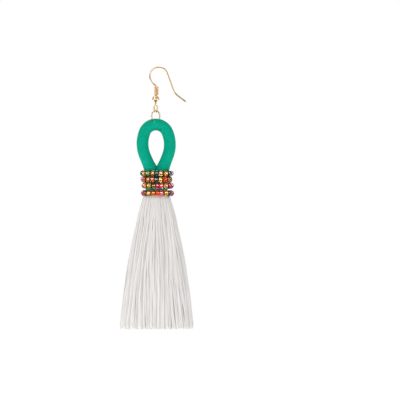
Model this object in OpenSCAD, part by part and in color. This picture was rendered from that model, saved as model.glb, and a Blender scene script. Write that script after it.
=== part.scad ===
// Drop earring: a gold ear wire carries a jump ring, and the ring carries a loop of cord
// wound with green thread, tied with four rows of seed beads over a white thread tassel.
// Origin: underside of the ear wire at the top of its bend, where it hangs in the ear.
// +Z is up, +X runs back along the wire to its tail, and the front of the drop faces -Y.

/* [Ear wire] */
// Thickness of the ear wire
wire_d = 0.7; // [0.6:0.05:0.8]
// Radius of the bend that hangs in the ear
bend_r = 3.65; // [3.4:0.05:4.2]
// Radius of the shoulder that leads from the bend to the shank
shoulder_r = 4.3; // [3.8:0.1:4.6]
// Radius of the small kink above the coil
kink_r = 0.5; // [0.45:0.01:0.6]
// Distance of the shank in front of the bend's middle
shank_set = 1.28; // [1.1:0.02:1.5]
// Slant of the back run from upright
back_slant = 20; // [14:1:26]
// Length of the back run
back_l = 7.4; // [6:0.1:9]
// Radius of the flick at the foot of the back run
flick_r = 5; // [3.5:0.1:6.5]
// Slant of the tail from upright
tail_slant = 53; // [46:1:60]
// Length of the straight tail
tail_l = 4.4; // [4:0.1:6]

/* [Eye of the ear wire] */
// Radius of the eye, to the middle of its wire
eye_r = 1.5; // [1.4:0.05:1.8]
// Radius of the bend between the shank and the eye
eye_bend_r = 0.5; // [0.45:0.05:0.6]
// Angle short of the top at which the eye's free end stops
eye_open = 30; // [30:1:36]
// Turn of the eye's plane about the shank
eye_turn = -63; // [-75:1:-50]
// Bare shank between the ball and the eye's bend
shank_bare = 0.38; // [0.3:0.02:0.8]

/* [Coil and ball] */
// Outer diameter of the coil
coil_d = 1.9; // [1.75:0.05:2.3]
// Thickness of the coil's wire
coil_wire_d = 0.26; // [0.22:0.01:0.3]
// Length of the coil
coil_l = 3.75; // [3:0.05:5]
// Diameter of the ball
ball_d = 3; // [2.6:0.1:3.6]

/* [Jump ring] */
// Outer diameter of the jump ring
ring_d = 5.2; // [5:0.1:5.8]
// Thickness of the jump ring's wire
ring_wire_d = 0.6; // [0.5:0.05:0.7]
// Turn of the jump ring's plane about the upright
ring_turn = 45; // [35:1:55]
// Width of the seam where the jump ring closes
ring_seam = 0.1; // [0.05:0.01:0.15]
// Place of the seam round the jump ring, from its side towards its top
ring_seam_at = 35; // [25:1:45]

/* [Wound loop] */
// Thickness of the wound cord
cord_d = 4.9; // [4.6:0.1:5.2]
// Width of the loop over its outer edges
loop_w = 16.1; // [15.6:0.1:17]
// Radius of the loop's crown, to the middle of the cord
crown_r = 5; // [4.8:0.1:5.2]
// Radius of the loop's sides, to the middle of the cord
side_r = 13; // [12:0.5:16]
// Slant of the legs from upright where they close in
leg_slant = 22; // [19:1:24]
// Radius of the bend that turns each leg upright
foot_r = 4; // [3:0.5:6]
// Depth of the jump ring's middle under the crown
ring_bite = 1.3; // [1.1:0.05:1.6]
// Lean of the loop towards the tail's side, from the jump ring down to the neck
loop_lean = 1; // [0:0.25:2]

/* [Neck] */
// Thickness of each leg where the binding squeezes it
leg_d = 4.1; // [3.9:0.1:4.3]
// Gap between the two squeezed legs
leg_gap = 0.1; // [0.1:0.05:0.3]
// Thickness of the thread wound round both legs
binding_wall = 0.3; // [0.25:0.05:0.5]
// Length of binding below the middle of the last row of beads
binding_tail = 0.8; // [0.5:0.1:1.1]

/* [Bead strand] */
// Diameter of the seed beads
bead_d = 2.3; // [2:0.05:2.5]
// Number of rows wound round the neck
bead_rows = 4; // [3:1:5]
// Gap between two rows
row_gap = 0.2; // [0.12:0.01:0.3]
// Further gap above the last row, where the binding shows
row_break = 0.6; // [0:0.1:1]
// Gap between the loop's feet and the first row
first_gap = 0.05; // [0.05:0.05:0.5]

/* [Tassel] */
// Length of the threads below the binding
tassel_l = 54.5; // [45:0.5:70]
// Width of the tassel at its cut ends
tassel_w = 30.2; // [26:0.2:34]
// Depth of the tassel at its cut ends, front to back
tassel_depth = 16; // [12:0.5:20]
// Number of locks round the tassel
lock_count = 20; // [14:1:24]
// Height of a lock over the grooves beside it
lock_h = 0.7; // [0.4:0.1:1]
// Unevenness of the cut ends
cut_uneven = 0.5; // [0:0.1:1]
// Length of the tassel's head inside the binding
head_l = 1.6; // [1:0.1:2.5]

/* [Clearances] */
// Clearance round a piece that is seated in or on another
fit = 0.05; // [0.03:0.01:0.08]
// Clearance round the jump ring in its tunnel through the cord
ring_fit = 0.12; // [0.08:0.01:0.2]

/* [Hidden] */
$fn = 64;

gold = "#d9b784";
green = "#04a585";
bead_red = "#c0452e";
thread_white = "#e4e1de";

// Each bend of the wire or cord is a swell thicker than the stretches that run a lap into it
wire_swell = 0.02;
wire_lap = 0.06;
cord_swell = 0.04;
cord_lap = 0.3;

// A point of the X-Z plane at angle a on a circle of radius r round c
function on(c, r, a) = [c[0] + r * cos(a), c[1] + r * sin(a)];

// The ear wire, as [x, z] of the wire's middle. It runs from the tail over the bend to the eye.
bend_c = [0, wire_d / 2 - bend_r];
back_top = on(bend_c, bend_r, back_slant);
back_end = back_top + back_l * [sin(back_slant), -cos(back_slant)];
flick_c = on(back_end, flick_r, back_slant);
tail_top = on(flick_c, flick_r, 180 + tail_slant);
shoulder_c = [shoulder_r - bend_r, bend_c[1]];
shoulder_turn = acos(1 - (bend_r - shank_set) / (shoulder_r + kink_r));
kink_c = on(shoulder_c, shoulder_r + kink_r, 180 + shoulder_turn);
shank_x = kink_c[0] + kink_r;
shank_top = kink_c[1];

// The coil leans on the front of the shank and stands on the ball
coil_gap = fit / 2;
coil_turns = floor((coil_l - coil_wire_d) / (coil_wire_d + coil_gap));
coil_r = coil_d / 2 - coil_wire_d / 2;
coil_x = shank_x + coil_r - coil_wire_d / 2 - wire_d / 2 - fit;
coil_top = shank_top - fit;
coil_steps = 12;
coil_sides = 6;
ball_z = coil_top - coil_l - fit - ball_d / 2;
ball_bore_d = wire_d + 2 * fit;

// The eye hangs under the ball, and the jump ring under the eye
eye_top = ball_z - ball_d / 2 - shank_bare;
eye_z = eye_top - sqrt(pow(eye_r + eye_bend_r, 2) - pow(eye_bend_r, 2));
eye_lean = atan2(eye_top - eye_z, eye_bend_r);
eye_end = 360 + 90 - eye_open;
ring_r = (ring_d - ring_wire_d) / 2;
ring_top = eye_z - eye_r + wire_d / 2 + fit + ring_wire_d / 2;
ring_z = ring_top - ring_r;
ring_seam_turn = ring_seam / ring_r * 180 / PI;

// The loop's right half, as [x, z] of the cord's middle, with x from the loop's own middle
crown_c = [0, ring_z - ring_r + ring_bite - cord_d / 2 - crown_r];
loop_half = loop_w / 2 - cord_d / 2;
crown_edge = acos((side_r - loop_half) / (side_r - crown_r));
side_c = on(crown_c, crown_r - side_r, crown_edge);
slant_top = on(side_c, side_r, -leg_slant);
foot_gap = leg_gap / 2;
foot_x = (cord_d + cord_swell + foot_gap) / 2;
slant_l = (slant_top[0] - foot_x - foot_r * (1 - cos(leg_slant))) / sin(leg_slant);
slant_end = slant_top - slant_l * [sin(leg_slant), cos(leg_slant)];
foot_c = [foot_x + foot_r, slant_end[1] - foot_r * sin(leg_slant)];

// The neck: an oval round both squeezed legs, with straight sides between its round ends.
// It stands upright under the leaning loop, whose lower foot dips a little below the neck's top.
neck_x = shank_x + (ring_z - foot_c[1]) * sin(loop_lean);
neck_top = ring_z - (ring_z - foot_c[1]) * cos(loop_lean);
foot_edge = foot_x + (cord_d + cord_swell) / 2;
foot_dip = foot_edge * sin(loop_lean);
leg_x = leg_d / 2 + leg_gap / 2;
binding_in_r = leg_d / 2 + fit;
binding_out_r = binding_in_r + binding_wall;
binding_top = neck_top - foot_dip - fit;
strand_r = binding_out_r + 2 * fit + bead_d / 2;
strand_aside = leg_x + strand_r - foot_edge;
first_drop = sqrt(max(pow(bead_d / 2 + fit, 2) - pow(strand_aside, 2), 0));
first_row = foot_dip + first_drop + first_gap;
row_pitch = bead_d + row_gap;
function row_z(k) = neck_top - first_row - k * row_pitch - (k == bead_rows - 1 ? row_break : 0);
binding_end = row_z(bead_rows - 1) - binding_tail;
head_top = binding_end + head_l;

// The strand's route round the neck, with a ring of its skin at every step
strand_sides = 10;
strand_step = 1.68;
strand_turn = oval_way(leg_x, strand_r);
strand_arc = PI * strand_r;
strand_l = (bead_rows - 1) * strand_turn + 2 * strand_arc + 2 * leg_x;
strand_rings = round(strand_l / strand_step);

// The tassel's sections. Down is a share of its length, and width and depth are shares of the
// way from the binding's size to the cut ends' size. Lock is the share of the locks' height.
down = 0;
width = 1;
depth = 2;
lock = 3;
tassel_sections = [
  [0.012, 0.050, 0.05, 0.2],
  [0.038, 0.125, 0.12, 0.4],
  [0.070, 0.175, 0.17, 0.6],
  [0.110, 0.235, 0.22, 0.8],
  [0.157, 0.305, 0.29, 1.0],
  [0.200, 0.355, 0.35, 1.0],
  [0.247, 0.400, 0.40, 1.0],
  [0.305, 0.470, 0.47, 1.0],
  [0.366, 0.540, 0.53, 1.0],
  [0.425, 0.600, 0.59, 1.0],
  [0.485, 0.660, 0.65, 1.0],
  [0.545, 0.710, 0.71, 1.0],
  [0.605, 0.760, 0.76, 1.0],
  [0.665, 0.805, 0.80, 1.0],
  [0.724, 0.850, 0.85, 1.0],
  [0.784, 0.885, 0.89, 1.0],
  [0.843, 0.915, 0.93, 1.0],
  [0.903, 0.955, 0.97, 1.0],
  [0.962, 0.990, 1.00, 1.0],
  [1.000, 0.990, 1.00, 1.0]
];

// Each lock has a few points round it, and its grooves sway by a share of its width on their way
// down. The shifts are the share of a wave that each next groove or lock is ahead.
lock_points = 6;
lock_inset = 0.7;
groove_sway = 0.16;
groove_waves = 1.5;
groove_shift = 0.38;
cut_shift = 0.37;

// An oval of radius r round a straight of half length s, followed for a way w from its back left.
// The spine is the nearest point of the straight, and the out is the outward direction.
function oval_way(s, r) = 2 * PI * r + 4 * s;
function oval_bend(s, r, w) = w < PI * r ? 180 * w / (PI * r)
  : w < PI * r + 2 * s ? 180
  : w < 2 * PI * r + 2 * s ? 180 * (w - 2 * s) / (PI * r)
  : 360;
function oval_spine(s, r, w) = w < PI * r ? -s
  : w < PI * r + 2 * s ? w - PI * r - s
  : w < 2 * PI * r + 2 * s ? s
  : 2 * PI * r + 3 * s - w;
function oval_out(s, r, w) = [-sin(oval_bend(s, r, w)), cos(oval_bend(s, r, w))];
function wrap(w, whole) = w - whole * floor(w / whole);

// The middle of a ring of points
function middle(ring) = [for (j = [0:len(ring) - 1]) 1] * ring / len(ring);

// A closed skin over rings of points, each ring counter-clockwise to one who looks along them
module skin(rings) {
  n = len(rings[0]);
  last = len(rings) - 1;
  points = [for (ring = rings) for (p = ring) p];
  caps = [middle(rings[0]), middle(rings[last])];
  sides = [
    for (i = [0:last - 1]) for (j = [0:n - 1])
      let (a = i * n + j, b = i * n + (j + 1) % n)
        for (face = [[a, b, b + n], [a, b + n, a + n]]) face
  ];
  start = [for (j = [0:n - 1]) [len(points), (j + 1) % n, j]];
  end = [for (j = [0:n - 1]) [len(points) + 1, last * n + j, last * n + (j + 1) % n]];
  polyhedron(points = concat(points, caps), faces = concat(sides, start, end), convexity = 8);
}

// One ring of a tube: n points round p, square to the level direction of travel t
function tube_ring(p, t, r, n) = [
  for (j = [0:n - 1])
    p + r * cos(360 * j / n) * [t[1], -t[0], 0] + [0, 0, r * sin(360 * j / n)]
];

// A bend of round section in the X-Z plane, between two angles on a circle round c.
// Each end can run on by a lap.
module bend(c, r, d, from, to, laps = [0, 0]) {
  more = laps / r * 180 / PI;
  translate([c[0], 0, c[1]])
    rotate([90, 0, 0])
      rotate_extrude(angle = to - from + more[0] + more[1], start = from - more[0])
        translate([r, 0])
          circle(d = d);
}

// A straight of round section in the X-Z plane that runs down from p at a slant from upright
module run(p, slant, l, d, laps = [0, 0]) {
  translate([p[0], 0, p[1]])
    rotate([0, 180 - slant, 0])
      translate([0, 0, -laps[0]])
        cylinder(h = l + laps[0] + laps[1], d = d);
}

module ear_hook() {
  bend_d = wire_d + wire_swell;
  both = [wire_lap, wire_lap];
  color(gold) {
    bend(bend_c, bend_r, bend_d, back_slant, 180);
    run(back_top, back_slant, back_l, wire_d, both);
    bend(flick_c, flick_r, bend_d, 180 + back_slant, 180 + tail_slant);
    run(tail_top, tail_slant, tail_l, wire_d, [wire_lap, 0]);
    bend(shoulder_c, shoulder_r, wire_d, 180, 180 + shoulder_turn, both);
    bend(kink_c, kink_r, bend_d, 0, shoulder_turn);
    run([shank_x, shank_top], 0, shank_top - eye_top, wire_d, both);
    translate([shank_x, 0, 0])
      rotate([0, 0, eye_turn]) {
        bend([-eye_bend_r, eye_top], eye_bend_r, bend_d, -eye_lean, 0);
        bend([0, eye_z], eye_r, wire_d, 180 - eye_lean, eye_end, [wire_lap, 0]);
      }
  }
}

module hook_coil() {
  pitch = (coil_l - coil_wire_d) / coil_turns;
  color(gold)
    skin([
      for (i = [0:coil_turns * coil_steps])
        let (a = 360 * i / coil_steps, z = coil_top - coil_wire_d / 2 - pitch * i / coil_steps)
          tube_ring(
            [coil_x + coil_r * cos(a), coil_r * sin(a), z],
            [-sin(a), cos(a), 0],
            coil_wire_d / 2,
            coil_sides
          )
    ]);
}

module hook_ball() {
  color(gold)
    translate([shank_x, 0, ball_z])
      difference() {
        sphere(d = ball_d);
        cylinder(h = 2 * ball_d, d = ball_bore_d, center = true);
      }
}

// The jump ring's own form, also used for the tunnel that it runs through
module link(d, from, turn) {
  translate([shank_x, 0, ring_z])
    rotate([90, 0, ring_turn])
      rotate_extrude(angle = turn, start = from)
        translate([ring_r, 0])
          circle(d = d);
}

module jump_ring() {
  color(gold)
    link(ring_wire_d, ring_seam_at + ring_seam_turn, 360 - ring_seam_turn);
}

// One side of the wound loop, from the crown's edge down to the neck
module loop_side() {
  bend_d = cord_d + cord_swell;
  bend(side_c, side_r, bend_d, -leg_slant, crown_edge);
  run(slant_top, -leg_slant, slant_l, cord_d, [cord_lap, cord_lap]);
  bend(foot_c, foot_r, bend_d, 180 - leg_slant, 180);
}

module wrapped_loop() {
  color(green)
    difference() {
      union() {
        translate([shank_x, 0, ring_z])
          rotate([0, -loop_lean, 0])
            translate([0, 0, -ring_z]) {
              bend(crown_c, crown_r, cord_d, crown_edge, 180 - crown_edge, [cord_lap, cord_lap]);
              loop_side();
              mirror([1, 0, 0])
                loop_side();
            }
        for (side = [-1, 1])
          run([neck_x + side * leg_x, neck_top], 0, neck_top - head_top - fit, leg_d, [cord_lap, 0]);
      }
      link(ring_wire_d + 2 * ring_fit, 0, 360);
    }
}

// The area of the oval neck, out to radius r round each leg's middle
module neck_area(r) {
  for (x = [-leg_x, leg_x])
    translate([x, 0])
      circle(r = r);
  square([2 * leg_x, 2 * r], center = true);
}

module neck_binding() {
  color(green)
    translate([neck_x, 0, binding_end])
      linear_extrude(binding_top - binding_end)
        difference() {
          neck_area(binding_out_r);
          neck_area(binding_in_r);
        }
}

// Height of the strand at way w along it: level over the front, down to the next row at the back
function strand_z(w) =
  let (
    past = max(w - strand_arc / 2, 0) / strand_turn,
    k = min(floor(past), bead_rows - 1),
    next = min(k + 1, bead_rows - 1),
    drop = max(2 * (past - k) - 1, 0)
  )
    row_z(k) + (row_z(next) - row_z(k)) * (1 - cos(180 * drop)) / 2;

function strand_ring(w) =
  let (
    at = wrap(w, strand_turn),
    out = oval_out(leg_x, strand_r, at),
    x = neck_x + oval_spine(leg_x, strand_r, at) + strand_r * out[0]
  )
    tube_ring([x, strand_r * out[1], strand_z(w)], [-out[1], out[0], 0], bead_d / 2, strand_sides);

module bead_strand() {
  color(bead_red)
    skin([for (i = [0:strand_rings - 1]) strand_ring(strand_l * i / (strand_rings - 1))]);
}

// Place of groove k at share d of the way down, in locks round the tassel
function groove(k, d) = k + groove_sway * sin(360 * (d * groove_waves + (k % lock_count) * groove_shift));

// Way of point j round the tassel, as a share
function lock_share(j, d) =
  let (k = floor(j / lock_points), f = j / lock_points - k)
    (groove(k, d) * (1 - f) + groove(k + 1, d) * f) / lock_count;

// One ring of the tassel at height z, with half width hw, half depth hd and locks of height h
function tassel_ring(z, hw, hd, h, d, cut) = [
  for (j = [0:lock_count * lock_points - 1])
    let (
      s = hw - hd,
      whole = oval_way(s, hd),
      w = wrap(whole * lock_share(j, d), whole),
      out = oval_out(s, hd, w),
      ridge = h * (abs(sin(180 * j / lock_points)) - lock_inset),
      end = cut * sin(360 * cut_shift * j / lock_points)
    )
      [neck_x + oval_spine(s, hd, w) + (hd + ridge) * out[0], (hd + ridge) * out[1], z + end]
];

module tassel() {
  neck_hw = leg_x + binding_out_r;
  head_r = binding_in_r - fit;
  head_hw = leg_x + head_r;
  color(thread_white)
    skin(concat(
      [for (z = [head_top, binding_end]) tassel_ring(z, head_hw, head_r, 0, 0, 0)],
      [
        for (row = tassel_sections)
          tassel_ring(
            binding_end - tassel_l * row[down],
            neck_hw + (tassel_w / 2 - neck_hw) * row[width],
            binding_out_r + (tassel_depth / 2 - binding_out_r) * row[depth],
            lock_h * row[lock],
            row[down],
            row[down] == 1 ? cut_uneven : 0
          )
      ]
    ));
}

ear_hook();
hook_coil();
hook_ball();
jump_ring();
wrapped_loop();
neck_binding();
bead_strand();
tassel();
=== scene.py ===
# Tassel earring: gold ear wire with a coil and a ball, a jump ring, a loop of cord wound with
# green thread, four rows of seed beads and a white thread tassel.
# Lengths are in millimetres until Blender takes them, in metres. Angles are in degrees until
# they are used, and the start of a wave is in radians.
import math

import bpy
import numpy as np
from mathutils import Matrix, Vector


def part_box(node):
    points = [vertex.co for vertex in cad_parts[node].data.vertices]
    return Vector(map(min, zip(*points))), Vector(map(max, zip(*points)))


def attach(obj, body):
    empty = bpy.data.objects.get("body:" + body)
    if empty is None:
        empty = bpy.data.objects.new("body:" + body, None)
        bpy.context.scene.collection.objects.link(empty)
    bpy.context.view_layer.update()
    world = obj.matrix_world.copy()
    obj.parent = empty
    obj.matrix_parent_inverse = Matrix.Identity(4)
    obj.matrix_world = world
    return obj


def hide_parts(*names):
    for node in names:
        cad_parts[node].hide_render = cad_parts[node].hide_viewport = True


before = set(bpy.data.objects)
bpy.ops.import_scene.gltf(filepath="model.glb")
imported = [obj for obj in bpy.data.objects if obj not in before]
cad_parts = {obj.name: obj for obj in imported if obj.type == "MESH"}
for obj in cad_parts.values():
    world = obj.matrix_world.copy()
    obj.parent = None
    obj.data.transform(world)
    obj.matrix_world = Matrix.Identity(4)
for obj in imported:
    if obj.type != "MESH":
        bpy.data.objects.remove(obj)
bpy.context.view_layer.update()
mm = 0.001
draw = np.random.default_rng(7)      # one seed, so that each run draws the same
print("frame loaded:", len(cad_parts), "nodes")


def boxOf(node):
    # a CAD node's lowest and highest corners and its middle
    low, high = (np.array(corner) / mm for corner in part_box(node))
    return low, high, (low + high) / 2


def linear(hexColour):
    # sRGB hex to linear: a channel's share over 12.92 below 0.04045, and from there the share
    # and 0.055, over 1.055, to the power 2.4
    share = np.array([int(hexColour[i:i + 2], 16) for i in (1, 3, 5)]) / 255
    return (*np.where(share < 0.04045, share / 12.92, ((share + 0.055) / 1.055) ** 2.4), 1.0)


def smooth(share):
    # three times the share squared, less twice its cube, held at 0 and 1
    share = np.clip(share, 0, 1)
    return share * share * (3 - 2 * share)


def bell(distance, size):
    # a bell curve: e to the power of minus the square of the distance over the size
    return np.exp(-(distance / size) ** 2)


def unit(vectors):
    # each vector over its own length
    return vectors / np.linalg.norm(vectors, axis=-1, keepdims=True)


def gridMesh(name, grid, ringed=False, along=None):
    # Skins grid[solid, i, j] with quads, where i runs along a solid and j counter-clockwise
    # round it. A ringed solid closes on itself, and any other gets a fan of triangles at each
    # end. UV is the share round and the way along.
    grid = grid.reshape((-1,) + grid.shape[-3:])
    solids, rows, cols = grid.shape[:3]
    index = np.arange(solids * rows * cols).reshape(solids, rows, cols)
    near = index if ringed else index[:, :-1]
    far = np.roll(index, -1, 1) if ringed else index[:, 1:]
    quads = np.stack([near, np.roll(near, -1, 2), np.roll(far, -1, 2), far], -1).reshape(-1, 4)
    points = grid.reshape(-1, 3)
    fans = np.zeros((0, 3), int)
    if not ringed:
        ends = index[:, [0, -1]]
        middle = len(points) + np.arange(2 * solids).reshape(solids, 2, 1) + 0 * ends
        turned = np.roll(ends, -1, 2)
        start = np.stack([middle[:, 0], turned[:, 0], ends[:, 0]], -1)
        end = np.stack([middle[:, 1], ends[:, 1], turned[:, 1]], -1)
        fans = np.concatenate([start.reshape(-1, 3), end.reshape(-1, 3)])
        points = np.concatenate([points, grid[:, [0, -1]].mean(2).reshape(-1, 3)])
    along = np.arange(rows) if along is None else along
    reach = np.array(np.broadcast_to(along, (solids, rows)), float)
    if ringed:
        reach = np.concatenate([reach, 2 * reach[:, -1:] - reach[:, -2:-1]], 1)
    share = np.broadcast_to(np.arange(cols) / cols, near.shape)
    low = np.broadcast_to(reach[:, :-1, None], near.shape)
    high = np.broadcast_to(reach[:, 1:, None], near.shape)
    corners = [(share, low), (share + 1 / cols, low), (share + 1 / cols, high), (share, high)]
    uv = np.stack([np.stack(corner, -1) for corner in corners], -2).reshape(-1, 2)
    uv = np.concatenate([uv, np.zeros((fans.size, 2))])

    mesh = bpy.data.meshes.new(name)
    mesh.vertices.add(len(points))
    mesh.vertices.foreach_set("co", (points * mm).ravel())
    mesh.loops.add(quads.size + fans.size)
    mesh.loops.foreach_set("vertex_index", np.concatenate([quads.ravel(), fans.ravel()]))
    mesh.polygons.add(len(quads) + len(fans))
    starts = [4 * np.arange(len(quads)), quads.size + 3 * np.arange(len(fans))]
    mesh.polygons.foreach_set("loop_start", np.concatenate(starts))
    mesh.polygons.foreach_set("use_smooth", np.ones(len(quads) + len(fans), bool))
    mesh.uv_layers.new(name="route").data.foreach_set("uv", uv.ravel())
    mesh.update(calc_edges=True)
    piece = bpy.data.objects.new(name, mesh)
    bpy.context.scene.collection.objects.link(piece)
    return piece


def pointValues(piece, name, values):
    # One number or one linear colour for each point. What has no value of its own gets the last.
    mesh = piece.data
    values = np.asarray(values, float)
    flat = values.ndim == 1
    spare = len(mesh.vertices) - len(values)
    values = np.concatenate([values, np.repeat(values[-1:], spare, 0)]) if spare else values
    layer = mesh.attributes.new(name, "FLOAT" if flat else "FLOAT_COLOR", "POINT")
    layer.data.foreach_set("value" if flat else "color", values.ravel())


def fit(piece, body, slot, finishes, *nodes):
    # A finished piece takes its finishes, rides on its body and stands for its nodes. Its slot is
    # not used.
    for finish in finishes:
        piece.data.materials.append(finish)
    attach(piece, body)
    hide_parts(*nodes)
    print("made", piece.name, len(piece.data.polygons), "faces")
    return piece


def route(start, heading, stretches, step):
    # Straights and arcs joined smoothly in a plane. An arc turns the heading by its length over
    # its radius, and moves the point by the radius times the rise in the heading's sine across,
    # and times the fall in its cosine up. Radius 0 is straight.
    points = [np.array([start], float)]
    for length, radius in stretches:
        s = np.linspace(0, length, max(2, math.ceil(length / step) + 1))[1:]
        if radius:
            turned = heading + s / radius
            across = np.sin(turned) - math.sin(heading)
            up = math.cos(heading) - np.cos(turned)
            move = radius * np.stack([across, up], 1)
            heading += length / radius
        else:
            move = s[:, None] * np.array([math.cos(heading), math.sin(heading)])
        points.append(points[-1][-1] + move)
    return np.concatenate(points)


def wayAlong(path):
    # running length of a path, from 0
    steps = np.linalg.norm(np.diff(path, axis=-2), axis=-1)
    return np.concatenate([np.zeros(steps.shape[:-1] + (1,)), np.cumsum(steps, -1)], -1)


def circle(count):
    # angles all round, from 0
    return 2 * np.pi * np.arange(count) / count


def sweep(path, radius, sides, side, lead=None):
    # A round section carried along a path: at each angle, the path's point plus the radius times
    # the sum of cosine times u and sine times w. The given side, made square to the travel of
    # the path or of a smoother lead, is u, and w is the travel crossed with u.
    travel = unit(np.gradient(path if lead is None else lead, axis=-2))
    u = np.broadcast_to(np.asarray(side, float), path.shape)
    u = unit(u - (u * travel).sum(-1, keepdims=True) * travel)
    w = np.cross(travel, u)
    a = circle(sides)[:, None]
    out = np.cos(a) * u[..., None, :] + np.sin(a) * w[..., None, :]
    return path[..., None, :] + np.asarray(radius, float)[..., None] * out


def roundEnd(way, radius, least=0.02):
    # Radius of a wire with round ends. The distance to the nearer end, over the radius and held
    # between a least share and 1, is taken from 1, and the radius is multiplied by the square
    # root of 1 less the square of that.
    left = np.minimum(way, way[..., -1:] - way)
    return radius * np.sqrt(1 - (1 - np.clip(left / radius, least, 1)) ** 2)


def oval(share, half, radius):
    # The outline one radius away from a straight, followed counter-clockwise from the front
    # right: a point of the straight plus the radius times the cosine and sine of the way out.
    # Gives x and y, and that cosine and sine.
    bend = np.pi * radius
    way = (share % 1) * (2 * bend + 4 * half)
    back = np.clip((way - bend) / (2 * half), 0, 1)
    front = np.clip((way - 2 * bend - 2 * half) / (2 * half), 0, 1)
    spine = half - 2 * half * back + 2 * half * front
    turned = np.clip(way / bend, 0, 1) + np.clip((way - bend - 2 * half) / bend, 0, 1)
    a = np.pi * turned - np.pi / 2
    return spine + radius * np.cos(a), radius * np.sin(a), np.cos(a), np.sin(a)


mixA, mixB, mixOut = 6, 7, 2      # a colour Mix node's two colours and its result, by place


def addNode(tree, kind, settings=None, links=None):
    # One node: settings name its own properties or its inputs, and links name inputs to join
    made = tree.nodes.new(kind)
    for key, value in (settings or {}).items():
        if isinstance(key, str) and hasattr(made, key):
            setattr(made, key, value)
        else:
            made.inputs[key].default_value = value
    for key, socket in (links or {}).items():
        tree.links.new(socket, made.inputs[key])
    return made


def newMaterial(name):
    made = bpy.data.materials.new(name)
    made.use_nodes = True
    made.node_tree.nodes.clear()
    return made, made.node_tree


def finishWith(made, surface):
    addNode(made.node_tree, "ShaderNodeOutputMaterial", {}, {"Surface": surface.outputs[0]})
    return made


# Gold-plated brass, drawn to wire and tumbled bright: a pale warm gold with sharp but slightly
# broken reflections, because tumbling leaves fine dents about 0.1 mm across. The coil's fine
# wire is duller, because its narrow turns run together to the eye, and painted paler: a lit
# copy of the gold, which is painted light.
gold = {"light": "#EFD6B2", "deep": "#D6B088", "roughness": 0.2,
        "paintedFineLight": "#FBDEB4", "paintedFineDeep": "#F5D6AB", "fineRoughness": 0.6,
        "cloudsPerMm": 0.5, "deepBelow": 0.2, "lightAbove": 0.6,
        "dentSize": 0.12, "dentDepth": 0.006, "dentStrength": 0.35}


def goldPlatedBrass(name, light, deep, roughness):
    # clouds of noise run the colour from deep to light, and finer noise makes the dents
    made, tree = newMaterial(name)
    place = addNode(tree, "ShaderNodeTexCoord")
    cloud = addNode(tree, "ShaderNodeTexNoise", {"Scale": gold["cloudsPerMm"] / mm, "Detail": 2.0},
                    {"Vector": place.outputs["Object"]})
    colour = addNode(tree, "ShaderNodeValToRGB", {}, {"Fac": cloud.outputs["Fac"]})
    ends = colour.color_ramp.elements
    ends[0].color, ends[1].color = linear(deep), linear(light)
    ends[0].position, ends[1].position = gold["deepBelow"], gold["lightAbove"]
    dents = addNode(tree, "ShaderNodeTexNoise",
                    {"Scale": 1 / (gold["dentSize"] * mm), "Detail": 1.0},
                    {"Vector": place.outputs["Object"]})
    bump = addNode(tree, "ShaderNodeBump",
                   {"Strength": gold["dentStrength"], "Distance": gold["dentDepth"] * mm},
                   {"Height": dents.outputs["Fac"]})
    metal = addNode(tree, "ShaderNodeBsdfPrincipled",
                    {"Metallic": 1.0, "Roughness": roughness},
                    {"Base Color": colour.outputs["Color"], "Normal": bump.outputs["Normal"]})
    return finishWith(made, metal)


# Mercerised cotton thread, wound tight: smooth and close to satin, with fine fibres that run
# round the cord. A darker line between the turns is painted shade, and a paler green is painted
# light, along one line in front of the loop and over the whole binding. Fibres are 0.02 mm in
# the real thread and are drawn 0.08 mm wide so that they show.
cotton = {"crest": "#01A789", "groove": "#01846B", "paintedLight": "#58C9A8",
          "roughness": 0.75, "specular": 0.06,
          "cloudsPerMm": 0.35, "cloudGain": 0.8, "cloudShift": -0.3,
          "fibre": 0.08, "fibreRun": 1.6, "fibreDepth": 0.02, "fibreStrength": 0.6}


def woundGreenCotton():
    # the crest plus the scaled cloud runs the colour from the dark tone to the crest colour:
    # painted shade in the grooves, dimples and under the crown, and a tone that varies at random;
    # the painted light pales it
    made, tree = newMaterial("woundGreenCotton")
    crest = addNode(tree, "ShaderNodeAttribute", {"attribute_name": "crest"})
    place = addNode(tree, "ShaderNodeTexCoord")
    cloud = addNode(tree, "ShaderNodeTexNoise",
                    {"Scale": cotton["cloudsPerMm"] / mm, "Detail": 3.0},
                    {"Vector": place.outputs["Object"]})
    uneven = addNode(tree, "ShaderNodeMath",
                     {"operation": "MULTIPLY_ADD", 1: cotton["cloudGain"],
                      2: cotton["cloudShift"]}, {0: cloud.outputs["Fac"]})
    both = addNode(tree, "ShaderNodeMath", {"operation": "ADD", "use_clamp": True},
                   {0: crest.outputs["Fac"], 1: uneven.outputs["Value"]})
    wound = addNode(tree, "ShaderNodeMix", {"data_type": "RGBA", mixA: linear(cotton["groove"]),
                                            mixB: linear(cotton["crest"])},
                    {0: both.outputs["Value"]})
    paintedLight = addNode(tree, "ShaderNodeAttribute", {"attribute_name": "paintedLight"})
    colour = addNode(tree, "ShaderNodeMix", {"data_type": "RGBA", mixB: linear(cotton["paintedLight"])},
                     {0: paintedLight.outputs["Fac"], mixA: wound.outputs[mixOut]})
    grain = addNode(tree, "ShaderNodeMapping",
                    {"Scale": (1 / cotton["fibreRun"], 1 / cotton["fibre"], 1.0)},
                    {"Vector": place.outputs["UV"]})
    fibres = addNode(tree, "ShaderNodeTexNoise", {"Scale": 1.0, "Detail": 2.0},
                     {"Vector": grain.outputs["Vector"]})
    bump = addNode(tree, "ShaderNodeBump", {"Strength": cotton["fibreStrength"],
                                            "Distance": cotton["fibreDepth"] * mm},
                   {"Height": fibres.outputs["Fac"]})
    thread = addNode(tree, "ShaderNodeBsdfPrincipled",
                     {"Roughness": cotton["roughness"], "Specular IOR Level": cotton["specular"]},
                     {"Base Color": colour.outputs[mixOut], "Normal": bump.outputs["Normal"]})
    return finishWith(made, thread)


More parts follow.
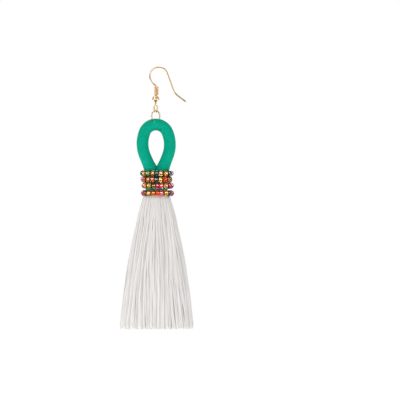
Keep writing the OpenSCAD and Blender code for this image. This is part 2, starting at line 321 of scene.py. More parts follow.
# White rayon tassel thread, loosely plied: soft, bright and a little silky, with fine fibres
# that wind slowly round each strand. Fibres of 0.02 mm are drawn 0.07 mm wide.
rayon = {"light": "#E4E2E0", "shade": "#C2BFBD", "roughness": 0.75,
         "sheen": 0.06, "sheenRoughness": 0.5,
         "fibre": 0.07, "fibreRun": 1.4, "twist": 14, "fibreDepth": 0.035, "fibreStrength": 0.7}


def pliedWhiteRayon():
    # each strand's tone runs its colour from shade to light
    made, tree = newMaterial("pliedWhiteRayon")
    tone = addNode(tree, "ShaderNodeAttribute", {"attribute_name": "tone"})
    place = addNode(tree, "ShaderNodeTexCoord")
    colour = addNode(tree, "ShaderNodeMix",
                     {"data_type": "RGBA", mixA: linear(rayon["shade"]),
                      mixB: linear(rayon["light"])}, {0: tone.outputs["Fac"]})
    grain = addNode(tree, "ShaderNodeMapping",
                    {"Rotation": (0, 0, math.radians(rayon["twist"])),
                     "Scale": (1 / rayon["fibre"], 1 / rayon["fibreRun"], 1.0)},
                    {"Vector": place.outputs["UV"]})
    fibres = addNode(tree, "ShaderNodeTexNoise", {"Scale": 1.0, "Detail": 2.0},
                     {"Vector": grain.outputs["Vector"]})
    bump = addNode(tree, "ShaderNodeBump", {"Strength": rayon["fibreStrength"],
                                            "Distance": rayon["fibreDepth"] * mm},
                   {"Height": fibres.outputs["Fac"]})
    thread = addNode(tree, "ShaderNodeBsdfPrincipled",
                     {"Roughness": rayon["roughness"], "Sheen Weight": rayon["sheen"],
                      "Sheen Roughness": rayon["sheenRoughness"]},
                     {"Base Color": colour.outputs[mixOut], "Normal": bump.outputs["Normal"]})
    return finishWith(made, thread)


# Seed beads of drawn glass, tumbled in the fire to round their edges: clear coloured glass with
# a mirror-like lining in the hole, which shows as a bright line through the middle, and which
# also glows faintly, a painted light. The glass looks deeper towards a bead's rim, where more of
# it lies in the way. Opaque beads have a gloss.
glass = {"clearRoughness": 0.05, "opaqueRoughness": 0.12, "opaqueGloss": 0.6, "ior": 1.5,
         "transmission": 0.75, "rim": 0.35, "liningRoughness": 0.2, "liningGlow": 0.12}


def silverLinedGlass():
    # the colour is multiplied by itself towards the rim
    made, tree = newMaterial("silverLinedGlass")
    colour = addNode(tree, "ShaderNodeAttribute", {"attribute_name": "beadColour"})
    rim = addNode(tree, "ShaderNodeLayerWeight", {"Blend": glass["rim"]})
    deep = addNode(tree, "ShaderNodeMix", {"data_type": "RGBA", "blend_type": "MULTIPLY"},
                   {0: rim.outputs["Facing"],
                    mixA: colour.outputs["Color"], mixB: colour.outputs["Color"]})
    clear = addNode(tree, "ShaderNodeBsdfPrincipled",
                    {"Roughness": glass["clearRoughness"], "IOR": glass["ior"],
                     "Transmission Weight": glass["transmission"]},
                    {"Base Color": deep.outputs[mixOut]})
    return finishWith(made, clear)


def opaqueGlass():
    made, tree = newMaterial("opaqueGlass")
    colour = addNode(tree, "ShaderNodeAttribute", {"attribute_name": "beadColour"})
    solid = addNode(tree, "ShaderNodeBsdfPrincipled",
                    {"Roughness": glass["opaqueRoughness"], "IOR": glass["ior"],
                     "Coat Weight": glass["opaqueGloss"]},
                    {"Base Color": colour.outputs["Color"]})
    return finishWith(made, solid)


def holeLining():
    made, tree = newMaterial("holeLining")
    colour = addNode(tree, "ShaderNodeAttribute", {"attribute_name": "liningColour"})
    # a faint glow in the lining is painted light
    mirror = addNode(tree, "ShaderNodeBsdfPrincipled",
                     {"Metallic": 1.0, "Roughness": glass["liningRoughness"],
                      "Emission Strength": glass["liningGlow"]},
                     {"Base Color": colour.outputs["Color"],
                      "Emission Color": colour.outputs["Color"]})
    return finishWith(made, mirror)


# Waxed brown nylon bead thread, twisted: dull with a faint spiral. Bare is how much of it shows
# beyond the end beads, and tuck how far it then goes in to the binding.
beadThread = {"colour": "#6B5335", "shade": "#4A3A24", "roughness": 0.6, "thickness": 0.5,
              "ply": 0.5, "plyWander": 0.6, "plyDepth": 0.04, "plyStrength": 0.6,
              "bare": 0.9, "tuck": 1.3, "steps": 420, "sides": 8}


def waxedNylon():
    # slanting bands in the thread's own UV run it from its shade to its colour, and raise it
    made, tree = newMaterial("waxedNylon")
    place = addNode(tree, "ShaderNodeTexCoord")
    ply = addNode(tree, "ShaderNodeTexWave",
                  {"wave_type": "BANDS", "bands_direction": "DIAGONAL",
                   "Scale": 1 / beadThread["ply"], "Distortion": beadThread["plyWander"]},
                  {"Vector": place.outputs["UV"]})
    bump = addNode(tree, "ShaderNodeBump", {"Strength": beadThread["plyStrength"],
                                            "Distance": beadThread["plyDepth"] * mm},
                   {"Height": ply.outputs["Fac"]})
    colour = addNode(tree, "ShaderNodeMix",
                     {"data_type": "RGBA", mixA: linear(beadThread["shade"]),
                      mixB: linear(beadThread["colour"])}, {0: ply.outputs["Fac"]})
    thread = addNode(tree, "ShaderNodeBsdfPrincipled", {"Roughness": beadThread["roughness"]},
                     {"Base Color": colour.outputs[mixOut], "Normal": bump.outputs["Normal"]})
    return finishWith(made, thread)


goldFinish = goldPlatedBrass("goldPlatedBrass", gold["light"], gold["deep"], gold["roughness"])
# the coil's gold is painted paler than the rest: painted light
paintedFineFinish = goldPlatedBrass("paintedPaleFineGold", gold["paintedFineLight"], gold["paintedFineDeep"],
                             gold["fineRoughness"])
greenFinish = woundGreenCotton()
whiteFinish = pliedWhiteRayon()
clearFinish, opaqueFinish, liningFinish = silverLinedGlass(), opaqueGlass(), holeLining()
nylonFinish = waxedNylon()
print("materials made")

ballMiddle = boxOf("hook_ball")[2]
ringMiddle = boxOf("jump_ring")[2]
shankX = ballMiddle[0]

# Ear wire: one wire from the tail over the bend and down the shank to the eye. Lengths and radii
# of its stretches, and the slants of its straight ones from upright.
earWire = {"thickness": 0.7, "bend": 3.65, "shoulder": 4.3, "kink": 0.5, "shankSet": 1.28,
           "backSlant": 20, "backLength": 7.4, "flick": 5, "tailSlant": 53, "tailLength": 4.4,
           "ballRadius": 1.5, "bareShank": 0.38, "eye": 1.5, "eyeBend": 0.5, "eyeOpen": 30,
           "eyeTurn": -63, "step": 0.1, "shankSteps": 59, "sides": 18}


def makeEarWire():
    # The route is tail, flick, back run, bend, shoulder, kink and shank in the X-Z plane, and
    # then the eye, whose way across goes by the cosine and sine of its plane's turn about the
    # shank. Down the shank the wire's section turns to it by degrees.
    w = earWire
    swing = w["bend"] - w["shankSet"]
    turn = math.acos(1 - swing / (w["shoulder"] + w["kink"]))
    flickTurn = math.radians(w["tailSlant"] - w["backSlant"])
    bendTurn = math.radians(180 - w["backSlant"])
    front = route((0, 0), math.radians(90 + w["tailSlant"]), [
        (w["tailLength"], 0), (flickTurn * w["flick"], -w["flick"]), (w["backLength"], 0),
        (bendTurn * w["bend"], w["bend"]), (turn * w["shoulder"], w["shoulder"]),
        (turn * w["kink"], -w["kink"])], w["step"])
    front += [shankX - front[-1, 0], w["thickness"] / 2 - front[:, 1].max()]
    eyeTop = ballMiddle[2] - w["ballRadius"] - w["bareShank"]
    drop = math.sqrt((w["eye"] + w["eyeBend"]) ** 2 - w["eyeBend"] ** 2)
    lean = math.atan2(drop, w["eyeBend"])
    shank = np.linspace(front[-1, 1], eyeTop, w["shankSteps"] + 1)[1:]
    around = math.radians(270 - w["eyeOpen"]) + lean
    eye = route((0, eyeTop), math.radians(-90), [
        (lean * w["eyeBend"], -w["eyeBend"]), (around * w["eye"], w["eye"])], w["step"])[1:]
    eyeTurn = math.radians(w["eyeTurn"])
    share = [0 * front[:, 0], np.linspace(0, 1, w["shankSteps"]), 0 * eye[:, 0] + 1]
    turned = eyeTurn * smooth(np.concatenate(share))
    across = np.concatenate([front[:, 0] - shankX, 0 * shank, eye[:, 0] * math.cos(eyeTurn)])
    deep = np.concatenate([0 * front[:, 0], 0 * shank, eye[:, 0] * math.sin(eyeTurn)])
    up = np.concatenate([front[:, 1], shank, eye[:, 1]])
    path = np.stack([shankX + across, deep, up], 1)
    side = np.stack([-np.sin(turned), np.cos(turned), 0 * turned], 1)
    way = wayAlong(path)
    grid = sweep(path, roundEnd(way, w["thickness"] / 2)[:, None], w["sides"], side)
    return fit(gridMesh("earWire", grid, along=way), "hook", "gold_wire", [goldFinish], "ear_hook")


# Coil of fine wire, wound close round the shank above the ball
coil = {"wire": 0.26, "turns": 12, "steps": 28, "sides": 10}


def makeCoil():
    # a helix: the radius times each angle's cosine and sine, falling evenly from the top
    low, high, middle = boxOf("hook_coil")
    radius = (high[0] - low[0] - coil["wire"]) / 2
    a = 2 * np.pi * np.linspace(0, coil["turns"], coil["turns"] * coil["steps"] + 1)
    drop = np.linspace(high[2] - coil["wire"] / 2, low[2] + coil["wire"] / 2, len(a))
    path = np.stack([middle[0] + radius * np.cos(a), radius * np.sin(a), drop], 1)
    way = wayAlong(path)
    grid = sweep(path, roundEnd(way, coil["wire"] / 2)[:, None], coil["sides"], [0, 0, 1])
    piece = gridMesh("wireCoil", grid, along=way)
    return fit(piece, "hook", "gold_wire", [paintedFineFinish], "hook_coil")


# Ball, drilled through and slipped on the shank
ball = {"radius": 1.5, "bore": 0.4, "round": 56, "profile": 40, "boreSteps": 6}


def makeBall():
    # A profile turned about the upright: down an arc from one edge of the bore to the other,
    # where the sine of its angle is the bore over the radius, and back up the bore
    rim = math.asin(ball["bore"] / ball["radius"])
    a = np.linspace(rim, np.pi - rim, ball["profile"])
    out = np.concatenate([ball["radius"] * np.sin(a), np.full(ball["boreSteps"], ball["bore"])])
    edge = ball["radius"] * math.cos(rim)
    bore = np.linspace(-edge, edge, ball["boreSteps"] + 2)[1:-1]
    up = np.concatenate([ball["radius"] * np.cos(a), bore])
    t = circle(ball["round"])
    x, y = np.cos(t)[:, None] * out, np.sin(t)[:, None] * out
    grid = np.stack([x, y, np.broadcast_to(up, x.shape)], -1) + ballMiddle
    piece = gridMesh("drilledBall", grid, ringed=True)
    return fit(piece, "hook", "gold_wire", [goldFinish], "hook_ball")


# Jump ring, whose cut ends meet at a fine seam. They are nipped to a share of the radius, and
# wear rounds them by another.
jumpRing = {"radius": 2.3, "wire": 0.6, "turn": 45, "seam": 0.1, "seamAt": 35,
            "nipped": 0.75, "worn": 0.3, "steps": 96, "sides": 18}


def makeJumpRing():
    # a circle, the radius times each cosine across and sine up, in an upright plane
    gap = jumpRing["seam"] / jumpRing["radius"]
    a = math.radians(jumpRing["seamAt"]) + np.linspace(gap, 2 * np.pi, jumpRing["steps"])
    turn = math.radians(jumpRing["turn"])
    across = jumpRing["radius"] * np.cos(a)
    up = jumpRing["radius"] * np.sin(a)
    path = np.stack([across * math.cos(turn), across * math.sin(turn), up], 1)
    path += ringMiddle
    side = [-math.sin(turn), math.cos(turn), 0]
    way = wayAlong(path)
    thick = jumpRing["wire"] / 2
    ends = roundEnd(way, thick) * jumpRing["worn"] + thick * jumpRing["nipped"]
    radius = np.minimum(thick, ends)
    grid = sweep(path, radius[:, None], jumpRing["sides"], side)
    piece = gridMesh("jumpRing", grid, along=way)
    return fit(piece, "ring", "gold_wire", [goldFinish], "jump_ring")


makeEarWire()
makeCoil()
makeBall()
makeJumpRing()

# Neck under the loop: both legs squeezed side by side in an oval binding. They run straight up
# to the top, which is a lip above the binding's rim.
bindingLow, bindingHigh, bindingMiddle = boxOf("neck_binding")
neck = {"x": bindingMiddle[0], "legX": 2.1, "legRadius": 2.05, "bindingRadius": 2.4, "lip": 0.14,
        "rim": bindingHigh[2], "end": bindingLow[2]}
neck["top"] = neck["rim"] + neck["lip"]

# Loop of cord wound with green thread, which is 0.34 mm a turn
loop = {"cord": 4.9, "thread": 0.34, "relief": 0.05, "sides": 44, "step": 0.055,
        # the route: radii of its arcs, slant of its sides, where its legs stand, and its lean
        "crown": 5, "side": 13, "foot": 4, "slant": 22, "halfWidth": 5.6, "footX": 2.495,
        "legShort": 1.4, "lean": 1,
        # the squeeze starts this far above the top and is full so much lower, and the feet swell
        "squeezeFrom": 0.2, "squeezeOver": 0.9,
        "press": 0.3, "pressIn": 0.1, "pressZ": -41.5, "pressSize": 1.9,
        # the turns' line wanders by sines of this size, way for each radian, and start
        "wander": ((0.25, 2.9, 0), (0.15, 1.13, 1)),
        # the dimples where the jump ring dives in, and the painted shade in them
        "dimple": 0.5, "dimpleSize": 0.5, "dimpleShade": 0.8,
        # painted shade under the crown: a darker dip
        "crownShadeX": -0.9, "crownShadeZ": -25.4, "crownShadeWide": 2.2, "crownShadeHigh": 0.7,
        # the painted highlight, a paler line in front, from and to (x, z)
        "highlightFrom": (-2.7, -20.3), "highlightTo": (-1.6, -22.7), "highlightWide": 0.2, "highlight": 0.7}


def makeLoop():
    # The cord's route is legs, feet, slants, sides and crown. Its crest is the cosine, without
    # its sign, of half a turn for each thread's width of way and each time round, and its radius
    # loses the relief as the crest falls from 1 to 0, so each turn of thread is a round ridge, and
    # the crest also paints shade in the grooves. The swell, the dimples and their painted shade,
    # the painted shade under the crown and the painted highlight line fade as bell curves.
    slant = math.radians(loop["slant"])
    edge = math.acos((loop["side"] - loop["halfWidth"]) / (loop["side"] - loop["crown"]))
    sideX = loop["halfWidth"] - loop["side"]
    slantX = sideX + loop["side"] * math.cos(slant)
    run = (slantX - loop["footX"] - loop["foot"] * (1 - math.cos(slant))) / math.sin(slant)
    leg = neck["top"] - neck["end"] - loop["legShort"]
    half = [(leg, 0), (slant * loop["foot"], loop["foot"]), (run, 0),
            ((slant + edge) * loop["side"], -loop["side"])]
    crown = [((math.pi - 2 * edge) * loop["crown"], -loop["crown"])]
    foot = (-loop["footX"], neck["top"] - leg)
    flat = route(foot, math.pi / 2, half + crown + half[::-1], loop["step"])
    flat[:, 0] -= flat[:, 0].mean()
    inNeck = smooth((neck["top"] + loop["squeezeFrom"] - flat[:, 1]) / loop["squeezeOver"])
    pressed = bell(flat[:, 1] - loop["pressZ"], loop["pressSize"])
    squeeze = inNeck * (loop["footX"] - neck["legX"]) + loop["pressIn"] * pressed
    below = ringMiddle[2] - np.maximum(flat[:, 1], neck["top"])
    lean = math.sin(math.radians(loop["lean"])) * below
    lead = np.stack([shankX + flat[:, 0] + lean, 0 * lean, flat[:, 1]], 1)
    path = lead - (np.sign(flat[:, 0]) * squeeze)[:, None] * [1, 0, 0]
    way = wayAlong(path)
    around = np.arange(loop["sides"]) / loop["sides"]
    wander = sum(size * np.sin(way / length + first) for size, length, first in loop["wander"])
    crest = np.abs(np.cos(np.pi * (way[:, None] / loop["thread"] + around + wander[:, None])))
    cord = loop["cord"] / 2 + loop["press"] * pressed
    radius = (cord * (1 - inNeck) + neck["legRadius"] * inNeck)[:, None]
    radius = radius + loop["relief"] * (crest - 1)
    grid = sweep(path, radius, loop["sides"], [0, -1, 0], lead)
    turn = math.radians(jumpRing["turn"])
    fromRing = grid - ringMiddle
    across = fromRing @ [math.cos(turn), math.sin(turn), 0]
    aside = fromRing @ [math.sin(turn), -math.cos(turn), 0]
    near = np.hypot(np.hypot(across, fromRing[..., 2]) - jumpRing["radius"], aside)
    near = bell(near, loop["dimpleSize"])
    grid -= loop["dimple"] * near[..., None] * unit(grid - path[:, None, :])
    piece = gridMesh("woundLoop", grid, along=way)
    # painted shade: the crest is darkened in the dimples and in a dip under the crown
    crownShade = bell(grid[..., 0] - loop["crownShadeX"], loop["crownShadeWide"])
    crownShade = crownShade * bell(grid[..., 2] - loop["crownShadeZ"], loop["crownShadeHigh"])
    pointValues(piece, "crest", (crest - loop["dimpleShade"] * near - crownShade).ravel())
    # a painted highlight: a paler line across the front of the loop
    start, reach = np.array(loop["highlightFrom"]), np.subtract(loop["highlightTo"], loop["highlightFrom"])
    flatGrid = grid[..., [0, 2]] - start
    along = np.clip(flatGrid @ reach / (reach @ reach), 0, 1)
    off = np.linalg.norm(flatGrid - along[..., None] * reach, axis=-1)
    highlight = loop["highlight"] * bell(off, loop["highlightWide"]) * (1 - along / 2)
    pointValues(piece, "paintedLight", (highlight * (grid[..., 1] < 0)).ravel())
    return fit(piece, "drop", "green_thread", [greenFinish], "wrapped_loop")


# Binding of the same thread round both legs, painted paler all over as painted light against
# the beads' shade. Its ends are rounded, and its inner wall clears the legs.
binding = {"thread": 0.34, "relief": 0.05, "cols": 120, "rows": 190, "paintedPaler": 0.6,
           "endDrop": 0.12, "endOver": 0.25, "clearance": 0.05}


def makeBinding():
    # An oval tube. Its outer radius has the loop's ridges, with the height for the way, and
    # rounded ends, and its inner wall is plain.
    z = np.linspace(neck["end"], neck["rim"], binding["rows"])
    share = np.arange(binding["cols"]) / binding["cols"]
    crest = np.abs(np.cos(np.pi * (z[:, None] / binding["thread"] + share)))
    radius = neck["bindingRadius"] + binding["relief"] * (crest - 1)
    edge = np.minimum(z - z[0], z[-1] - z)[:, None]
    radius = radius - binding["endDrop"] * (1 - smooth(edge / binding["endOver"]))
    x, y, cosOut, sinOut = oval(share, neck["legX"], neck["bindingRadius"])
    x = x + (radius - neck["bindingRadius"]) * cosOut
    y = y + (radius - neck["bindingRadius"]) * sinOut
    outer = np.stack([neck["x"] + x, y, z[:, None] + 0 * x], -1)
    x, y = oval(share, neck["legX"], neck["legRadius"] + binding["clearance"])[:2]
    low, high = (np.stack([neck["x"] + x, y, 0 * x + end], -1) for end in (z[0], z[-1]))
    piece = gridMesh("neckBinding", np.concatenate([outer, [high, low]]), ringed=True)
    pointValues(piece, "crest", np.concatenate([crest, crest[:2] * 0]).ravel())
    # the whole binding is painted paler, a painted light against the beads' shade
    pointValues(piece, "paintedLight", [binding["paintedPaler"]])
    return fit(piece, "drop", "green_thread", [greenFinish], "neck_binding")


makeLoop()
makeBinding()

# Seed beads on a thread that winds round the neck in rows. A row is level over the front and
# goes down to the next at the back.
strand = {"perTurn": 18, "rows": 4, "radius": 3.65,
          # the first row's drop from the neck's top, from row to row, and more for the last
          "first": 1.0, "pitch": 2.5, "break": 0.6,
          # how far each row is shifted to the right, and how much it is narrowed
          "rowShift": (0.1, -0.05, 0.42, 0.38), "rowIn": (0, 0.07, 0.055, 0.02),
          # a bead: its greatest radius, its hole's, its length, and how square its section is
          "outer": 1.25, "hole": 0.4, "length": 1.66, "corner": 0.75, "round": 22, "profile": 16,
          # how beads differ, and how far painted shade darkens them towards the ends
          "sizes": (0.93, 1.05), "lengths": (0.9, 1.02), "tilt": 0.02, "loose": 0.04,
          "endShade": 0.6, "endPower": 4,
          # a bead's axis is the strand's way from this far behind it to this far ahead
          "ahead": 0.2}

# Colours of the beads' glass and, where it is clear, of the lining that shows through it
beadColours = {
    "t": ("#6E9C8C", "#B4CCC0"), "g": ("#E0B05C", "#FFE7A8"), "w": ("#7C9C5C", "#E8F0C8"),
    "b": ("#C8964E", "#F2CF86"), "d": ("#1E4A40", "#D8E6DA"), "p": ("#E8B084", "#FFD8B0"),
    "k": ("#14242B",), "m": ("#B07F8E",), "v": ("#1B2348",), "o": ("#E8501E", "#FFC489"),
    "n": ("#C8742C", "#FFC874"), "s": ("#E46A54", "#FFC9A8"), "r": ("#A82028", "#E08A7A"),
    "c": ("#D82858", "#FF7898"), "i": ("#EA7C84", "#FFBCB4"), "a": ("#C81C60", "#EE6AA0"),
    "y": ("#E0A850", "#FFE298"), "e": ("#80702C", "#D9C878"),
}
# A row's front beads from left to right, the back beads that follow each of the first three,
# and the few before the first row and after the last
frontBeads = ["tgwbdpgkm", "mobsdgonb", "yggecipaa", "crynoiyvo"]
backBeads = ["gbowdrpgn", "snogbdryi", "cgyoeparn"]
firstBeads, lastBeads = "bod", "gob"


def strandWay(way):
    # The route round the neck at a way along it: an oval, level for the first half of each turn
    # and down by half a cosine wave over the second. Gives the points and the way outwards.
    radius = strand["radius"]
    turn = 2 * np.pi * radius + 4 * neck["legX"]
    bend = np.pi * radius
    share = (way + bend + 2 * neck["legX"]) / turn
    x, y, cosOut, sinOut = oval(share, neck["legX"], radius)
    past = np.maximum(way - bend / 2, 0) / turn
    row = np.minimum(np.floor(past), strand["rows"] - 1).astype(int)
    after = np.minimum(row + 1, strand["rows"] - 1)
    down = np.clip(2 * (past - row) - 1, 0, 1)
    rowZ = neck["top"] - strand["first"] - np.arange(strand["rows"]) * strand["pitch"]
    rowZ[-1] -= strand["break"]
    fall = (1 - np.cos(np.pi * down)) / 2
    z = rowZ[row] + (rowZ[after] - rowZ[row]) * fall
    shift, squeeze = np.array(strand["rowShift"]), 1 - np.array(strand["rowIn"])
    x = x * (squeeze[row] + (squeeze[after] - squeeze[row]) * fall)
    x = neck["x"] + x + shift[row] + (shift[after] - shift[row]) * fall
    return np.stack([x, y, z], -1), np.stack([cosOut, sinOut, 0 * cosOut], -1)


def makeBeads():
    # Each bead is a rounded square section, turned about the strand's way. At each angle round
    # it, the section is out by the hole's radius and half the wall times one plus the sine, and
    # along by half the length times the cosine, with both raised to a power, signs kept.
    turn = 2 * np.pi * strand["radius"] + 4 * neck["legX"]
    lead = np.pi * strand["radius"] / 2
    rows = "".join(front + back for front, back in zip(frontBeads, backBeads))
    letters = firstBeads + rows + frontBeads[-1] + lastBeads
    count = len(letters)
    way = lead + (np.arange(count) - len(firstBeads) + 1 / 2) * turn / strand["perTurn"]
    middle = strandWay(way)[0]
    ahead = strandWay(way + strand["ahead"])[0] - strandWay(way - strand["ahead"])[0]
    axis = unit(ahead + draw.normal(0, strand["tilt"], (count, 3)))
    u = unit(np.cross([0, 0, 1], axis))
    w = np.cross(axis, u)
    size = draw.uniform(*strand["sizes"], count)
    length = strand["length"] * draw.uniform(*strand["lengths"], count) / 2
    middle = middle + draw.normal(0, strand["loose"], (count, 3))
    c = circle(strand["profile"])
    sin, cos = np.sin(c), np.cos(c)
    thick = (strand["outer"] * size - strand["hole"]) / 2
    bulge = np.sign(sin) * np.abs(sin) ** strand["corner"]
    out = strand["hole"] + thick[:, None] * (1 + bulge)
    deep = length[:, None] * np.sign(cos) * np.abs(cos) ** strand["corner"]
    t = circle(strand["round"])[:, None]
    around = np.cos(t) * u[:, None] + np.sin(t) * w[:, None]
    grid = middle[:, None, None] + out[:, None, :, None] * around[:, :, None]
    grid = grid + deep[:, None, :, None] * axis[:, None, None]
    piece = gridMesh("seedBeads", grid, ringed=True)
    perBead = strand["round"] * strand["profile"]
    glassColour = np.array([linear(beadColours[k][0]) for k in letters])
    liningColour = np.array([linear(beadColours[k][-1]) for k in letters])
    # painted shade: each bead darkens towards its ends, where it meets the next
    shade = strand["endShade"] * np.abs(cos) ** strand["endPower"]
    ends = (1 - shade)[:, None] ** [1, 1, 1, 0]
    tint = glassColour[:, None, None] * ends + np.zeros((1, strand["round"], 1, 1))
    pointValues(piece, "beadColour", tint.reshape(-1, 4))
    pointValues(piece, "liningColour", np.repeat(liningColour, perBead, 0))
    # the faces next to the middle of the hole are the lining
    inHole = np.broadcast_to((sin + np.roll(sin, -1)) / 2 < -3 / 4, grid.shape[:3])
    clear = np.array([len(beadColours[k]) > 1 for k in letters])[:, None, None]
    kind = np.where(clear, np.where(inHole, 2, 0), 1)
    piece.data.polygons.foreach_set("material_index", kind.ravel())
    finishes = [clearFinish, opaqueFinish, liningFinish]
    beads = fit(piece, "drop", "bead_glass", finishes, "bead_strand")

    # The thread leaves the end beads and tucks in to the binding
    bare, tuck = beadThread["bare"], beadThread["tuck"]
    thread = np.linspace(way[0] - bare - tuck, way[-1] + bare + tuck, beadThread["steps"])
    path, outward = strandWay(thread)
    beyond = np.maximum(way[0] - bare - thread, thread - way[-1] - bare)
    path = path - tuck * smooth(beyond / tuck)[:, None] * outward
    thick = roundEnd(wayAlong(path), beadThread["thickness"] / 2)
    grid = sweep(path, thick[:, None], beadThread["sides"], [0, 0, 1])
    piece = gridMesh("beadThread", grid, along=wayAlong(path))
    fit(piece, "drop", "green_thread", [nylonFinish], "bead_strand")
    return beads


beads = makeBeads()

# Tassel of loose thread. Down is a share of its length, and spread is the share of the way from
# the binding's size to the cut ends' size.
tassel = {"length": 54.5, "rise": 0.7, "halfWidth": 15.1, "halfDepth": 8,
          "down": (0, 0.012, 0.038, 0.07, 0.11, 0.157, 0.247,
                   0.366, 0.485, 0.605, 0.724, 0.843, 0.962, 1),
          "spread": (0, 0.05, 0.125, 0.175, 0.235, 0.305, 0.4,
                     0.54, 0.66, 0.76, 0.85, 0.92, 0.99, 0.99),
          # locks and ribs: how many, their relief and how their lines sway, for outer layers
          "locks": 20, "lock": 0.2, "lockSway": 0.16, "lockTurns": 1.5, "lockStart": 0.38,
          "ribs": 26, "rib": 0.25, "ribSway": 0.3, "ribRadians": 5,
          "ridgeLevel": 0.7, "reliefDeep": 3,
          # a strand: its radius, the most of its room that this takes, and how strands differ
          "strand": 0.415, "fill": 0.62, "sizes": (0.88, 1.08), "uneven": 0.13,
          "lift": 0.1, "liftTurns": 1.7, "liftUneven": 0.05,
          # its way aside in strand spacings, by sines of this size and turns, full from looseBy
          "looseBy": 0.25, "aside": ((0.4, 1.2), (0.2, 3.3)), "wander": 0.7,
          "drift": 1.3, "driftRound": 5, "driftDown": 0.8, "driftStart": 0.7,
          # strands in a clump, how the clumps vary, and how much they draw together
          "clump": 4.3, "clumpUneven": 0.2, "clumpRadians": 40, "pull": 0.06,
          # unevenness of the cut ends, spacing of rings, a layer's inset at the neck, least size
          "cut": 0.12, "cutPower": 6, "ringPower": 1.15, "insetTop": 0.35, "leastReach": 0.3,
          # tone of the strands: its middle, stripes of two widths, and chance
          "tone": 0.65, "stripe": 0.22, "stripes": 31, "stripeRatio": 1.7, "toneUneven": 0.15}
# Layers of strands from the outside in: inset from the outline, strands, rings and sides
layers = [(0.3, 118, 78, 10), (0.55, 116, 50, 8), (1.25, 110, 30, 7), (1.85, 104, 22, 7),
          (2.5, 96, 16, 7), (3.2, 88, 14, 7), (3.9, 80, 14, 7), (4.6, 72, 14, 7),
          (5.3, 64, 14, 7), (6.0, 56, 14, 7), (6.8, 48, 14, 7), (7.6, 40, 14, 7)]


def wave(turns, start=0):
    # a sine after so many turns from its start
    return np.sin(2 * np.pi * turns + start)


def ridges(turns):
    # round ridges side by side: the sine of half a turn for each, without its sign, less a level
    return np.abs(np.sin(np.pi * turns)) - tassel["ridgeLevel"]


def makeLayer(number, inset, count, rings, sides):
    # Strands stand almost evenly round an oval that grows down the tassel. Each wanders by a few
    # sine waves, draws towards its clump's middle, and rides on the relief of locks and ribs.
    spacing = draw.uniform(-tassel["uneven"], tassel["uneven"], count)
    share = (np.arange(count) + spacing) / count
    d = np.linspace(0, 1, rings) ** tassel["ringPower"]
    spread = np.interp(d, tassel["down"], tassel["spread"])
    depth = neck["bindingRadius"] + (tassel["halfDepth"] - neck["bindingRadius"]) * spread
    width = neck["legX"] + neck["bindingRadius"]
    width = width + (tassel["halfWidth"] - width) * spread
    loose = smooth(d / tassel["looseBy"])
    starts = draw.uniform(0, 2 * np.pi, (4, count, 1))      # the fourth is spare
    aside = sum(size * wave(turns * d, start)
                for (size, turns), start in zip(tassel["aside"], starts))
    drift = tassel["driftRound"] * share[:, None] + tassel["driftDown"] * d
    drift = tassel["drift"] * wave(drift, tassel["driftStart"])
    uneven = tassel["clumpUneven"] * np.sin(share * tassel["clumpRadians"])
    clump = np.round(share * count / tassel["clump"] + uneven) * tassel["clump"] / count
    pull = tassel["pull"] * (clump - share)[:, None] * loose
    at = share[:, None] + (aside + drift) * loose / count * tassel["wander"] + pull
    sway = tassel["lockTurns"] * d + tassel["lockStart"] * np.floor(at * tassel["locks"])
    lock = tassel["lock"] * ridges(at * tassel["locks"] - tassel["lockSway"] * wave(sway))
    lift = tassel["lift"] * wave(tassel["liftTurns"] * d, starts[2])
    lift = lift + draw.normal(0, tassel["liftUneven"], (count, 1))
    sway = tassel["ribSway"] * np.sin(tassel["ribRadians"] * d)
    rib = tassel["rib"] * ridges(at * tassel["ribs"] + sway)
    inside = inset * (tassel["insetTop"] + (1 - tassel["insetTop"]) * spread)
    relief = max(0, 1 - inset / tassel["reliefDeep"])
    reach = depth - inside + ((lift + lock) * loose + rib) * relief
    reach = np.minimum(np.maximum(reach, tassel["leastReach"]), depth - tassel["strand"] / 2)
    x, y = oval(at, width - depth, reach)[:2]
    girth = 2 * np.pi * depth + 4 * (width - depth)
    radius = np.minimum(tassel["strand"], tassel["fill"] * girth / count)
    radius = radius * draw.uniform(*tassel["sizes"], (count, 1))
    ends = draw.normal(0, tassel["cut"], (count, 1)) * d ** tassel["cutPower"]
    z = neck["end"] + tassel["rise"] - (tassel["length"] + tassel["rise"]) * d + ends
    path = np.stack([neck["x"] + x, y, z + 0 * x], -1)
    way = wayAlong(path)
    grid = sweep(path[:, ::-1], radius[:, ::-1, None], sides, [0, -1, 0])
    piece = gridMesh(f"tasselLayer{number}", grid, along=way[:, ::-1])
    stripes = tassel["stripes"] * share
    stripe = wave(stripes) + wave(tassel["stripeRatio"] * stripes, 1)
    tone = tassel["tone"] + tassel["stripe"] * stripe + draw.normal(0, tassel["toneUneven"], count)
    pointValues(piece, "tone", np.repeat(np.clip(tone, 0, 1), rings * sides))
    return fit(piece, "drop", "tassel_thread", [whiteFinish], "tassel")


for number, layer in enumerate(layers, 1):
    makeLayer(number, *layer)

# Pale floor under the hanging earring, and a white world that is dimmer in front
studio = {"floorDrop": 55, "floorSize": 1800, "floorThick": 10, "floorSides": 48,
          "floor": "#F4F4F2", "floorRoughness": 0.8, "glow": 0.8,
          "around": 0.66, "front": 0.3, "dimFrom": -1.0, "dimTo": 0.4}
white = linear("#FFFFFF")


